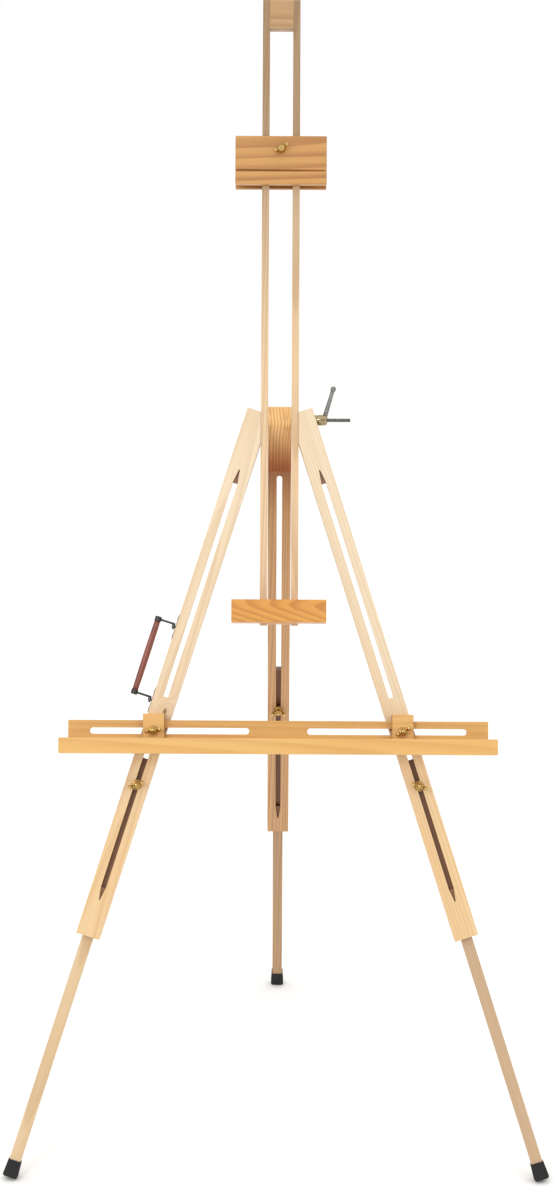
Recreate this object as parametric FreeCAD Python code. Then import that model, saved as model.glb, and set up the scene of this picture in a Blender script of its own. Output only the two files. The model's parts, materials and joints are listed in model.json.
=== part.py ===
"""Tripod field easel: folding wooden easel with a sliding mast, a tray and three telescopic legs.

Lengths are millimetres, angles are degrees.

The front of the easel (both front legs, the mast and the tray) lies in one plane that leans back.
It is modelled upright, in the "flat" frame: X to the viewer's right, Y the depth behind the front
legs' front faces, Z up the plane from the floor line. stand() then leans it back.
A front leg is modelled in a "leg" frame, with its origin at the rounded heel that it rocks on and Z
up along the leg. The rear leg's frame has its origin on the head bolt and Z up along the leg.

The finished part stands on the floor at Z = 0, with its origin under the middle of its footprint.
"""
import FreeCAD, Part
import math
import os

Vec = FreeCAD.Vector
X_AXIS, Y_AXIS, Z_AXIS = Vec(1, 0, 0), Vec(0, 1, 0), Vec(0, 0, 1)

# ------------------------------------------------------------------ driving dimensions
LEAN = 17.44            # the front plane leans back from upright
SPLAY = 17.55           # each front leg leans out from the mast, and folds in by this much
REAR_OPEN = 36.34       # the rear leg swings out from the front plane by this much

LEG_WIDTH = 37.0        # outer legs
LEG_DEPTH = 24.0
FRONT_WALL = 9.0        # wood left in front of an outer leg's channel
INNER_WIDTH = 17.5      # inner legs
INNER_DEPTH = 14.4
SLIDE_GAP = 0.3         # each side of a sliding piece
SLOT_WIDTH = 8.0        # slots in the front legs
REAR_SLOT_WIDTH = 8.6

HEEL_X, HEEL_Z = 32.2, 1148.0       # centre of a front leg's heel, in the flat frame
HEEL_R = 2.0
LEG_TOP = 48.0                      # stations along a front leg, from the heel
UPPER_SLOT = (-424.8, -71.8)
TRAY_BOLT_Z = -480.8
LOWER_SLOT = (-735.0, -497.0)
LOCK_Z = -568.8
INNER_TOP = -525.8
OUTER_BOTTOM = -814.0
HANDLE_EYES = (-436.0, -316.0)

REAR_SLOT = (-775.0, -106.0)        # stations along the rear leg, from the head bolt
REAR_INNER_TOP = -490.0
REAR_LOCK_Z = -565.0
REAR_OUTER_BOTTOM = -829.0

BOLT_R = 3.0                        # all bolts are M6
NUT_BASE_R, NUT_TOP_R, NUT_HEIGHT, WING_THICK = 6.4, 4.6, 9.0, 2.4
FIT = 0.08                          # radial running clearance round a bolt
HEAD_BOLT_Y, HEAD_BOLT_Z = 12.0, 1186.4
HEAD_BOLT_END = 111.5
SEAT_RIGHT, SEAT_LEFT = 54.0, 49.0  # seats of the washer and of the bolt's head, from the middle
BOLT_TRAVEL = 16.5                  # bolt and lever each back off this far as the legs fold

RAIL_IN, RAIL_OUT = 18.6, 30.0      # mast rails, from the middle
RAIL_FRONT, RAIL_BACK = 2.0, 20.0
MAST_BOTTOM, MAST_TOP = 861.0, 1864.0
MAST_DOWN, MAST_UP = 130.0, 215.0   # how far the mast slides
TOP_BLOCK = 46.0
LEDGE_BOTTOM, LEDGE_TOP = 863.0, 898.0
LEDGE_HALF = 73.5
LEDGE_FRONT, LEDGE_LIP, LEDGE_SEAT = -38.0, 8.0, 8.0
LEDGE_BACK = -1.0                   # beside the rails, to clear the front legs

CLAMP_HALF = 72.5
CLAMP_BOTTOM, CLAMP_TOP = 1561.0, 1639.0
CLAMP_SCREW_Z = 1617.0
CLAMP_FRONT, CLAMP_BACK = -8.0, 28.0
GROOVE_Z, GROOVE_HEIGHT, GROOVE_DEPTH = 1583.0, 3.0, 4.0

TRAY_BOTTOM, TRAY_TOP = 659.0, 711.0
TRAY_HALF = 326.0
TRAY_FACE = -12.6                   # front of the back board, which is 12 thick
TRAY_BOARD = 12.0
TRAY_DEPTH = 55.0                   # board's front to lip's front
TRAY_STOCK = 8.0                    # shelf and lip
LIP_TOP = 683.0
CHEEK = 9.5
TRAY_SLOT = (45.0, 293.0)
TRAY_SLOT_HEIGHT = 10.0
BLOCK_HALF, BLOCK_DEPTH, BLOCK_TOP = 16.5, 12.0, 721.0

GRIP_OUT = 31.0                     # grip's centre line from the leg's side
GRIP_R, GRIP_LENGTH = 4.8, 128.0    # the length includes the ferrules
FERRULE_R, FERRULE_LENGTH, FERRULE_ROUND = 5.3, 8.0, 1.4
LINK_R = 1.7                        # wire links
LINK_TAIL, LINK_RISE = 4.6, 4.0     # wire below and above the middle of its eye
EYE_OUT = 4.4                       # eye's centre line from the leg's side
EYE_HALF = 2.1
PLATE_HALF_LENGTH, PLATE_HALF_WIDTH, PLATE_THICK = 20.0, 6.5, 1.2
PLATE_SCREW = 14.5                  # screws from the plate's middle
PLATE_SCREW_HEAD_R = 3.0

HUB_R, HUB_LENGTH = 8.5, 19.5       # clamping lever
LEVER_ROOT = (16.5, 3.0)            # its arm's start from the hub's seat: out, then up
LEVER_TIP = (30.5, 50.0)
LEVER_ROOT_R, LEVER_TIP_R, LEVER_BALL_R = 3.9, 2.9, 4.2
BOLT_HEAD_R, BOLT_HEAD = 6.5, 4.0   # head of the head bolt
BUSH_R = 5.0

FOOT_HEIGHT, SOLE = 27.0, 5.0
FOOT_WALL, FOOT_FLARE = 1.4, 1.6     # the cap's wall at its top, and how much it widens downwards
SOLE_OFFSET = -0.37     # the feet reach slightly further forward than back of their middles

LEG_MID = LEG_WIDTH / 2 - HEEL_R    # middle of a front leg, in the leg frame
LEG_OUT = LEG_WIDTH - HEEL_R
CHANNEL_HALF = INNER_WIDTH / 2 + SLIDE_GAP
INNER_FRONT = FRONT_WALL + SLIDE_GAP
REAR_FACE = RAIL_BACK - HEAD_BOLT_Y + 2.3   # rear leg's front face, behind the head bolt
BLOCK_FACE = -9.5                   # head block's front face, in front of the head bolt
SCOOP_HIGH, SCOOP_LOW = -5.0, -98.0     # stations of the hollow in the head block's front
BLOCK_SCREWS = ((-14.0, 36.0), (-38.0, 29.0))   # station and length of each of the block's screws
PARTS = {}


# ------------------------------------------------------------------ small helpers
def box(x0, x1, y0, y1, z0, z1):
    return Part.makeBox(x1 - x0, y1 - y0, z1 - z0, Vec(x0, y0, z0))


def rod(start, axis, radius, length):
    return Part.makeCylinder(radius, length, start, axis)


def fused(shapes):
    shape = shapes[0]
    for other in shapes[1:]:
        shape = shape.fuse(other)
    return shape.removeSplitter()


def cut(shape, *tools):
    for tool in tools:
        shape = shape.cut(tool)
    return shape


def prism(points, direction):
    """Solid prism over a closed outline of points."""
    wire = Part.makePolygon(list(points) + [points[0]])
    return Part.Face(wire).extrude(direction)


def prism_xz(outline, y0, y1):
    return prism([Vec(x, y0, z) for x, z in outline], Vec(0, y1 - y0, 0))


def moved(shape, rotation_axis, degrees, offset):
    placed = shape.copy()
    turn = FreeCAD.Rotation(rotation_axis, degrees)
    placed.Placement = FreeCAD.Placement(offset, turn).multiply(placed.Placement)
    return placed


def mirrored(shape):
    return shape.mirror(Vec(0, 0, 0), X_AXIS)


def hull(points):
    """Convex outline round a set of (x, z) points."""
    points = sorted(set(points))

    def half(ordered):
        chain = []
        for p in ordered:
            while len(chain) > 1 and turn_of(chain[-2], chain[-1], p) <= 0:
                chain.pop()
            chain.append(p)
        return chain[:-1]

    return half(points) + half(points[::-1])


def turn_of(a, b, c):
    return (b[0] - a[0]) * (c[1] - a[1]) - (b[1] - a[1]) * (c[0] - a[0])


def long_slot(x, z0, z1, width, y0, y1, round_top=False):
    """Cutter for a slot along Z that goes from y0 to y1."""
    r = width / 2
    if not round_top:
        return box(x - r, x + r, y0, y1, z0, z1)
    straight = box(x - r, x + r, y0, y1, z0, z1 - r)
    return fused([straight, rod(Vec(x, y0, z1 - r), Y_AXIS, r, y1 - y0)])


def run_out(x, z_end, z_tip, width, y0, depth):
    """Tapering saw mark that runs on past the end of a slot, shallow and ever narrower."""
    r = width / 2
    tip = 0.8
    outline = [(x - r, z_end), (x + r, z_end), (x + tip, z_tip), (x - tip, z_tip)]
    return prism_xz(outline, y0, y0 + depth)


# ------------------------------------------------------------------ frames
def stand(shape):
    return moved(shape, X_AXIS, -LEAN, Vec(0, -footprint_middle(), 0))


def from_right_leg(shape):
    return moved(shape, Y_AXIS, -SPLAY, Vec(HEEL_X, 0, HEEL_Z))


def from_rear_leg(shape):
    return moved(shape, X_AXIS, REAR_OPEN, Vec(0, HEAD_BOLT_Y, HEAD_BOLT_Z))


def height_on_plane(z, y):
    """Height above the floor of a point of the flat frame."""
    return z * math.cos(math.radians(LEAN)) - y * math.sin(math.radians(LEAN))


def leg_station_at_height(height):
    """Station on a front leg's centre line that stands at a height above the floor."""
    lean, splay = math.radians(LEAN), math.radians(SPLAY)
    mid_depth = INNER_FRONT + INNER_DEPTH / 2
    z = (height + mid_depth * math.sin(lean)) / math.cos(lean)
    return (z - HEEL_Z - LEG_MID * math.sin(splay)) / math.cos(splay)


def rear_station_at_height(height):
    tilt = math.radians(REAR_OPEN - LEAN)
    mid = REAR_FACE + INNER_FRONT + INNER_DEPTH / 2
    bolt = height_on_plane(HEAD_BOLT_Z, HEAD_BOLT_Y)
    return (height - bolt - mid * math.sin(tilt)) / math.cos(tilt)


def footprint_middle():
    """Y midway between the front and the rear soles, before the part is moved over its origin."""
    tilt = math.radians(REAR_OPEN - LEAN)
    lean = math.radians(LEAN)
    mid = REAR_FACE + INNER_FRONT + INNER_DEPTH / 2
    bolt_y = HEAD_BOLT_Z * math.sin(lean) + HEAD_BOLT_Y * math.cos(lean)
    rear = bolt_y + mid * math.cos(tilt) - rear_station_at_height(0) * math.sin(tilt)
    front = (INNER_FRONT + INNER_DEPTH / 2) / math.cos(lean)
    return (front + rear) / 2 + SOLE_OFFSET


# ------------------------------------------------------------------ fasteners
def wing_nut():
    """Wing nut on +Z with its seat at Z = 0 and its wings along X."""
    wing = [(3.0, 1.5), (7.5, 3.5), (12.0, 10.0), (13.4, 14.5), (11.2, 16.6), (7.8, 13.2), (3.6, 7.6)]
    half = WING_THICK / 2
    nut = Part.makeCone(NUT_BASE_R, NUT_TOP_R, NUT_HEIGHT)
    for side in (-1, 1):
        nut = nut.fuse(prism([Vec(side * x, -half, z) for x, z in wing], Vec(0, WING_THICK, 0)))
    return cut(nut, rod(Vec(0, 0, -1), Z_AXIS, BOLT_R + FIT, 30))


def washer(outer=8.0, thickness=1.5):
    ring = rod(Vec(0, 0, 0), Z_AXIS, outer, thickness)
    return cut(ring, rod(Vec(0, 0, -1), Z_AXIS, BOLT_R + FIT, thickness + 2))


def carriage_bolt(length, head_r=7.0, head=3.4):
    """Round-headed bolt along +Z: the head is below Z = 0."""
    dome = rod(Vec(0, 0, -head), Z_AXIS, head_r, head)
    dome = dome.makeFillet(1.4, [e for e in dome.Edges if abs(e.CenterOfMass.z + head) < 0.01])
    return fused([dome, rod(Vec(0, 0, -0.5), Z_AXIS, BOLT_R, length + 0.5)])


def wood_screw(length, head_r=3.8):
    """Countersunk screw driven along -Z from a surface at Z = 0."""
    head = Part.makeCone(head_r, 1.7, 2.2, Vec(0, 0, 0), Vec(0, 0, -1))
    shank = rod(Vec(0, 0, -length), Z_AXIS, 1.7, length - 1.0)
    screw = fused([head, shank])
    slot = box(-head_r, head_r, -0.4, 0.4, -0.8, 0.1)
    return cut(screw, slot)


def aim(shape, point, direction):
    """Put a fastener made along +Z at a point, with its +Z along a direction."""
    placed = shape.copy()
    turn = FreeCAD.Rotation(Z_AXIS, direction)
    placed.Placement = FreeCAD.Placement(point, turn).multiply(placed.Placement)
    return placed


# ------------------------------------------------------------------ front legs, in the leg frame
def swept_outline(rectangle):
    """Outline, in the leg frame, of a rectangle of the flat frame for the whole of the fold.

    rectangle(share) gives x0, x1, z0, z1 in the flat frame at a share of the fold.
    """
    points = []
    steps = 6
    for i in range(steps + 1):
        share = i / steps
        a = math.radians(SPLAY * (1 - share))
        x0, x1, z0, z1 = rectangle(share)
        for x, z in ((x0, z0), (x1, z0), (x1, z1), (x0, z1)):
            dx, dz = x - HEEL_X, z - HEEL_Z
            points.append((dx * math.cos(a) + dz * math.sin(a), dz * math.cos(a) - dx * math.sin(a)))
    return hull(points)


def head_passage():
    """Hole through a leg for the head bolt, flared so that the leg can rock on its heel."""
    reach = BOLT_R + 0.4

    def band(share):
        return 20.0, 100.0, HEAD_BOLT_Z - reach, HEAD_BOLT_Z + reach

    return prism_xz(swept_outline(band), HEAD_BOLT_Y - reach, HEAD_BOLT_Y + reach)


def head_seat(seat, half):
    """Flat-bottomed seat in a leg's outer side, square to the head bolt when the leg is out."""
    def rectangle(share):
        return seat + BOLT_TRAVEL * share, 110.0, HEAD_BOLT_Z - half, HEAD_BOLT_Z + half

    return prism_xz(swept_outline(rectangle), HEAD_BOLT_Y - half, HEAD_BOLT_Y + half)


def outer_leg(seat, half):
    splay = math.radians(SPLAY)
    lean_in = Vec(math.sin(splay), 0, math.cos(splay))
    touch = Vec(-HEEL_R * math.cos(splay), 0, HEEL_R * math.sin(splay))
    facet_top = touch + lean_in * ((LEG_TOP - touch.z) / lean_in.z)
    outline = [Vec(-HEEL_R, 0, 0), Vec(-HEEL_R, 0, OUTER_BOTTOM), Vec(LEG_OUT, 0, OUTER_BOTTOM),
               Vec(LEG_OUT, 0, LEG_TOP), facet_top, touch, Vec(0, 0, 0)]
    body = prism(outline, Vec(0, LEG_DEPTH, 0))
    body = fused([body, rod(Vec(0, 0, 0), Y_AXIS, HEEL_R, LEG_DEPTH)])
    channel = box(LEG_MID - CHANNEL_HALF, LEG_MID + CHANNEL_HALF, FRONT_WALL, LEG_DEPTH + 1,
                  OUTER_BOTTOM - 1, UPPER_SLOT[1] + 12)
    return cut(body, channel,
               long_slot(LEG_MID, UPPER_SLOT[0], UPPER_SLOT[1], SLOT_WIDTH, -1, FRONT_WALL + 1),
               long_slot(LEG_MID, LOWER_SLOT[0], LOWER_SLOT[1], SLOT_WIDTH, -1, FRONT_WALL + 1),
               run_out(LEG_MID, UPPER_SLOT[1], UPPER_SLOT[1] + 22, SLOT_WIDTH, -1, 5),
               run_out(LEG_MID, LOWER_SLOT[0], LOWER_SLOT[0] - 20, SLOT_WIDTH, -1, 5),
               rod(Vec(LEG_MID, -1, TRAY_BOLT_Z), Y_AXIS, BOLT_R + FIT, FRONT_WALL + 2),
               rod(Vec(LEG_MID, FRONT_WALL - 3.8, TRAY_BOLT_Z), Y_AXIS, 7.6, 4.8),
               head_passage(), head_seat(seat, half))


def inner_leg(mid, front, top, bottom, lock_z):
    leg = box(mid - INNER_WIDTH / 2, mid + INNER_WIDTH / 2, front, front + INNER_DEPTH, bottom, top)
    hole = rod(Vec(mid, front - 1, lock_z), Y_AXIS, BOLT_R, INNER_DEPTH + 2)
    recess = rod(Vec(mid, front + INNER_DEPTH - 3.6, lock_z), Y_AXIS, 7.1, 5)
    return cut(leg, hole, recess)


def lock_bolt(mid, front, lock_z):
    """Bolt fixed in an inner leg: its head is sunk in the back, and it comes out at the front."""
    start = Vec(mid, front + INNER_DEPTH - 3.6, lock_z)
    return aim(carriage_bolt(INNER_DEPTH - 3.6 + INNER_FRONT + 13.5), start, Vec(0, -1, 0))


def foot(mid, front, bottom, tread):
    """Rubber cap on an inner leg, tapering upwards, worn flat where it meets the floor."""
    def ring(grow, z):
        x0, x1 = mid - INNER_WIDTH / 2 - grow, mid + INNER_WIDTH / 2 + grow
        y0, y1 = front - grow, front + INNER_DEPTH + grow
        corners = [Vec(x0, y0, z), Vec(x1, y0, z), Vec(x1, y1, z), Vec(x0, y1, z)]
        return Part.makePolygon(corners + corners[:1])

    cap = Part.makeLoft([ring(FOOT_WALL + FOOT_FLARE, bottom), ring(FOOT_WALL, bottom + FOOT_HEIGHT)], True)
    uprights = [e for e in cap.Edges if abs(e.Vertexes[0].Z - e.Vertexes[-1].Z) > FOOT_HEIGHT / 2]
    cap = cap.makeFillet(3.0, uprights)
    rim = [e for e in cap.Edges if all(abs(v.Z - bottom) < 0.01 for v in e.Vertexes)]
    cap = cap.makeFillet(3.6, rim)
    socket = box(mid - INNER_WIDTH / 2, mid + INNER_WIDTH / 2, front, front + INNER_DEPTH,
                 bottom + SOLE, bottom + FOOT_HEIGHT + 1)
    return cut(cap, socket, tread)


def keeper(mid, back, bottom):
    """Steel strap across the open back of an outer leg's channel, at its lower end."""
    half = LEG_WIDTH / 2 - 1.5
    return box(mid - half, mid + half, back, back + 1.4, bottom + 4, bottom + 24)


def keeper_screws(mid, back, bottom):
    offset = (LEG_WIDTH / 2 + CHANNEL_HALF) / 2 - 0.2
    return [aim(wood_screw(14.0, 3.2), Vec(mid + side * offset, back + 1.4, bottom + 14), Y_AXIS)
            for side in (-1, 1)]


def floor_below(frame):
    """The ground, as a solid seen from a leg's own frame."""
    ground = box(-600, 600, -900, 1500, -200, 0)
    return frame(ground)


def into_right_leg(shape):
    """Undo stand() and from_right_leg()."""
    flat = moved(shape, X_AXIS, LEAN, Vec(0, 0, 0))
    shifted = moved(flat, X_AXIS, 0, Vec(-HEEL_X, 0, -HEEL_Z))
    return moved(shifted, Y_AXIS, SPLAY, Vec(0, 0, 0))


def into_rear_leg(shape):
    flat = moved(shape, X_AXIS, LEAN, Vec(0, 0, 0))
    shifted = moved(flat, X_AXIS, 0, Vec(0, -HEAD_BOLT_Y, -HEAD_BOLT_Z))
    return moved(shifted, X_AXIS, -REAR_OPEN, Vec(0, 0, 0))


def front_leg(side):
    """All the pieces of one front leg, in the right leg's frame."""
    seat, half = (SEAT_RIGHT, 9.3) if side == "right" else (SEAT_LEFT, 7.4)
    bottom = leg_station_at_height(3.0)
    straps = keeper_screws(LEG_MID, LEG_DEPTH, OUTER_BOTTOM)
    pieces = {
        "outer_leg": cut(outer_leg(seat, half), *straps),
        "keeper": cut(keeper(LEG_MID, LEG_DEPTH, OUTER_BOTTOM), *straps),
        "keeper_screws": Part.makeCompound(straps),
        "inner_leg": inner_leg(LEG_MID, INNER_FRONT, INNER_TOP, bottom + SOLE, LOCK_Z),
        "foot": foot(LEG_MID, INNER_FRONT, bottom, floor_below(into_right_leg)),
        "lock_bolt": lock_bolt(LEG_MID, INNER_FRONT, LOCK_Z),
        "lock_washer": aim(washer(), Vec(LEG_MID, -0.1, LOCK_Z), Vec(0, -1, 0)),
        "lock_wing_nut": aim(wing_nut(), Vec(LEG_MID, -1.7, LOCK_Z), Vec(0, -1, 0)),
    }
    return pieces


# ------------------------------------------------------------------ carrying handle, in the leg frame
def handle_plate(z):
    """Screwed plate with an eye for the handle's link."""
    y = LEG_DEPTH / 2
    eye_x = LEG_OUT + EYE_OUT
    plate = box(LEG_OUT, LEG_OUT + PLATE_THICK, y - PLATE_HALF_WIDTH, y + PLATE_HALF_WIDTH,
                z - PLATE_HALF_LENGTH, z + PLATE_HALF_LENGTH)
    eye = rod(Vec(eye_x, y, z - EYE_HALF), Z_AXIS, LINK_R + 1.4, 2 * EYE_HALF)
    web = box(LEG_OUT + 1.0, eye_x, y - 1.6, y + 1.6, z - EYE_HALF, z + EYE_HALF)
    bore = rod(Vec(eye_x, y, z - EYE_HALF - 1), Z_AXIS, LINK_R + FIT, 2 * EYE_HALF + 2)
    return cut(fused([plate, eye, web]), bore)


def handle_link(z):
    """Wire through the eye at station z, bent out to the grip above it."""
    y = LEG_DEPTH / 2
    x = LEG_OUT + EYE_OUT
    elbow = Vec(x, y, z + LINK_RISE)
    upright = rod(Vec(x, y, z - LINK_TAIL), Z_AXIS, LINK_R, LINK_TAIL + LINK_RISE)
    arm = rod(elbow, X_AXIS, LINK_R, GRIP_OUT - EYE_OUT - 2.0)
    return fused([upright, Part.makeSphere(LINK_R, elbow), arm])


def handle_screws():
    """Round-headed screws through both plates into the leg."""
    screws = []
    for z in HANDLE_EYES:
        for dz in (-PLATE_SCREW, PLATE_SCREW):
            place = Vec(LEG_OUT + PLATE_THICK, LEG_DEPTH / 2, z + dz)
            screw = fused([wood_screw(14.0, PLATE_SCREW_HEAD_R),
                           rod(Vec(0, 0, 0), Z_AXIS, PLATE_SCREW_HEAD_R, PLATE_THICK)])
            screws.append(aim(screw, place, X_AXIS))
    return screws


def handle():
    y = LEG_DEPTH / 2
    x = LEG_OUT + GRIP_OUT
    low = sum(HANDLE_EYES) / 2 + LINK_RISE - GRIP_LENGTH / 2
    high = low + GRIP_LENGTH
    links = [handle_link(z) for z in HANDLE_EYES]
    ferrules = []
    for z, up in ((low, 1), (high, -1)):
        cap = rod(Vec(x, y, z), Vec(0, 0, up), FERRULE_R, FERRULE_LENGTH)
        cap = cap.makeFillet(FERRULE_ROUND, [e for e in cap.Edges if abs(e.CenterOfMass.z - z) < 0.01])
        ferrules.append(cut(cap, *links))
    grip = rod(Vec(x, y, low + FERRULE_LENGTH), Z_AXIS, GRIP_R, GRIP_LENGTH - 2 * FERRULE_LENGTH)
    screws = handle_screws()
    return {
        "handle_plates": Part.makeCompound([cut(handle_plate(z), *screws) for z in HANDLE_EYES]),
        "handle_plate_screws": Part.makeCompound(screws),
        "handle_grip": grip,
        "handle_ferrules": Part.makeCompound(ferrules),
        "handle_links": Part.makeCompound(links),
    }, screws


# ------------------------------------------------------------------ rear leg, in its own frame
def open_plane_cut(y_min, z_max):
    """Keeps what stays behind y_min and under z_max, both measured square to the open front plane."""
    reach = 2000.0
    keep = box(-reach, reach, y_min, reach, -reach, z_max)
    return moved(keep, X_AXIS, -REAR_OPEN, Vec(0, 0, 0))


def head_scoop():
    """Hollow that runs the head block's front out into the leg's front face."""
    drop, depth = SCOOP_HIGH - SCOOP_LOW, REAR_FACE - BLOCK_FACE
    radius = (drop ** 2 + depth ** 2) / (2 * depth)
    return rod(Vec(-50, REAR_FACE - radius, SCOOP_LOW), X_AXIS, radius, 100)


def rear_leg():
    face = REAR_FACE
    back = face + LEG_DEPTH
    body = box(-LEG_WIDTH / 2, LEG_WIDTH / 2, face, back, REAR_OUTER_BOTTOM, 60)
    body = body.common(open_plane_cut(RAIL_BACK - HEAD_BOLT_Y + 0.2, 17.5))
    channel = box(-CHANNEL_HALF, CHANNEL_HALF, face + FRONT_WALL, back + 1, REAR_OUTER_BOTTOM - 1,
                  REAR_SLOT[1] + 6)
    body = cut(body, channel,
               long_slot(0, REAR_SLOT[0], REAR_SLOT[1], REAR_SLOT_WIDTH,
                         face - 1, face + FRONT_WALL + 1, True),
               run_out(0, REAR_SLOT[0], REAR_SLOT[0] - 24, REAR_SLOT_WIDTH, face - 1, 5))
    block = box(-RAIL_IN + SLIDE_GAP, RAIL_IN - SLIDE_GAP, BLOCK_FACE, face, SCOOP_LOW, 40)
    block = block.common(open_plane_cut(BLOCK_FACE, 19.6))
    block = cut(block, rod(Vec(-50, 0, 0), X_AXIS, BUSH_R + FIT, 100), head_scoop())
    block_screws = [aim(wood_screw(length), Vec(0, back, z), Y_AXIS) for z, length in BLOCK_SCREWS]
    straps = keeper_screws(0, back, REAR_OUTER_BOTTOM)
    bottom = rear_station_at_height(1.8)
    front = face + INNER_FRONT
    pieces = {
        "outer_leg": cut(body, *(straps + block_screws)),
        "head_block": cut(block, *block_screws),
        "head_block_screws": Part.makeCompound(block_screws),
        "keeper": cut(keeper(0, back, REAR_OUTER_BOTTOM), *straps),
        "keeper_screws": Part.makeCompound(straps),
        "inner_leg": inner_leg(0, front, REAR_INNER_TOP, bottom + SOLE, REAR_LOCK_Z),
        "foot": foot(0, front, bottom, floor_below(into_rear_leg)),
        "lock_bolt": lock_bolt(0, front, REAR_LOCK_Z),
        "lock_washer": aim(washer(), Vec(0, face - 0.1, REAR_LOCK_Z), Vec(0, -1, 0)),
        "lock_wing_nut": aim(wing_nut(), Vec(0, face - 1.7, REAR_LOCK_Z), Vec(0, -1, 0)),
    }
    return pieces


# ------------------------------------------------------------------ mast, in the flat frame
def mast():
    low = HEAD_BOLT_Z - MAST_UP - BOLT_R - 4
    high = HEAD_BOLT_Z + MAST_DOWN + BOLT_R + 4
    half = BOLT_R + 0.3
    slot = box(-50, 50, HEAD_BOLT_Y - half, HEAD_BOLT_Y + half, low, high)
    ledge_mid = (LEDGE_BOTTOM + LEDGE_TOP) / 2
    top_mid = MAST_TOP - TOP_BLOCK / 2
    block_screws = [aim(wood_screw(26.0), Vec(side * RAIL_OUT, 11, z), Vec(side, 0, 0))
                    for side in (-1, 1) for z in (ledge_mid, top_mid)]
    rail_mid = (RAIL_IN + RAIL_OUT) / 2
    ledge_screws = [aim(wood_screw(34.0), Vec(side * rail_mid, RAIL_BACK, ledge_mid + dz), Y_AXIS)
                    for side in (-1, 1) for dz in (-9, 9)]
    rails = []
    for side in (-1, 1):
        x0, x1 = sorted((side * RAIL_IN, side * RAIL_OUT))
        rail = box(x0, x1, RAIL_FRONT, RAIL_BACK, MAST_BOTTOM, MAST_TOP)
        rails.append(cut(rail, slot, *(block_screws + ledge_screws)))
    top_block = box(-RAIL_IN, RAIL_IN, RAIL_FRONT, RAIL_BACK, MAST_TOP - TOP_BLOCK, MAST_TOP)
    bottom_block = box(-RAIL_IN, RAIL_IN, RAIL_FRONT, RAIL_BACK, LEDGE_BOTTOM, LEDGE_TOP)
    ledge = box(-LEDGE_HALF, LEDGE_HALF, LEDGE_FRONT, RAIL_FRONT, LEDGE_BOTTOM, LEDGE_TOP)
    seat = box(-100, 100, LEDGE_FRONT + LEDGE_LIP, RAIL_FRONT + 1, LEDGE_TOP - LEDGE_SEAT, LEDGE_TOP + 1)
    relief = [box(x0, x1, LEDGE_BACK, RAIL_FRONT + 1, LEDGE_BOTTOM - 1, LEDGE_TOP + 1)
              for x0, x1 in ((-100, -RAIL_OUT), (RAIL_OUT, 100))]
    ledge = cut(ledge, seat, *relief)
    return {
        "mast_rail_left": rails[0],
        "mast_rail_right": rails[1],
        "mast_top_block": cut(top_block, *block_screws),
        "mast_bottom_block": cut(bottom_block, *block_screws),
        "mast_block_screws": Part.makeCompound(block_screws),
        "canvas_ledge": cut(ledge, *ledge_screws),
        "ledge_screws": Part.makeCompound(ledge_screws),
    }


def canvas_clamp():
    gap = 0.15
    hole = rod(Vec(0, -50, CLAMP_SCREW_Z), Y_AXIS, BOLT_R + FIT, 100)
    front = box(-CLAMP_HALF, CLAMP_HALF, CLAMP_FRONT, RAIL_FRONT - gap, CLAMP_BOTTOM, CLAMP_TOP)
    groove = box(-100, 100, CLAMP_FRONT - 1, CLAMP_FRONT + GROOVE_DEPTH,
                 GROOVE_Z - GROOVE_HEIGHT / 2, GROOVE_Z + GROOVE_HEIGHT / 2)
    guide = box(-RAIL_IN + SLIDE_GAP, RAIL_IN - SLIDE_GAP, RAIL_FRONT - gap, RAIL_FRONT + 8,
                CLAMP_BOTTOM + 6, CLAMP_TOP - 6)
    back = box(-CLAMP_HALF, CLAMP_HALF, RAIL_BACK + gap, CLAMP_BACK, CLAMP_BOTTOM, CLAMP_TOP)
    nut_seat = CLAMP_BACK + 1.4
    barrel = rod(Vec(0, RAIL_BACK + 2, CLAMP_SCREW_Z), Y_AXIS, 4.6, CLAMP_BACK - RAIL_BACK - 2)
    flange = rod(Vec(0, CLAMP_BACK, CLAMP_SCREW_Z), Y_AXIS, 9.0, nut_seat - CLAMP_BACK)
    insert = cut(fused([barrel, flange]), hole)
    shaft = rod(Vec(0, 0, -36), Z_AXIS, BOLT_R, 39)
    head = fused([wing_nut(), rod(Vec(0, 0, 0), Z_AXIS, BOLT_R + FIT, 8), shaft])
    return {
        "clamp_front_board": cut(fused([front, guide]), groove, hole),
        "clamp_back_board": cut(back, hole, insert),
        "clamp_insert_nut": insert,
        "clamp_wing_screw": aim(head, Vec(0, CLAMP_FRONT - 0.1, CLAMP_SCREW_Z), Vec(0, -1, 0)),
    }


# ------------------------------------------------------------------ tray, in the flat frame
def tray_bolt_place():
    """Where the right tray bolt crosses the front plane."""
    splay = math.radians(SPLAY)
    x = HEEL_X + LEG_MID * math.cos(splay) - TRAY_BOLT_Z * math.sin(splay)
    z = HEEL_Z + LEG_MID * math.sin(splay) + TRAY_BOLT_Z * math.cos(splay)
    return x, z


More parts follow.
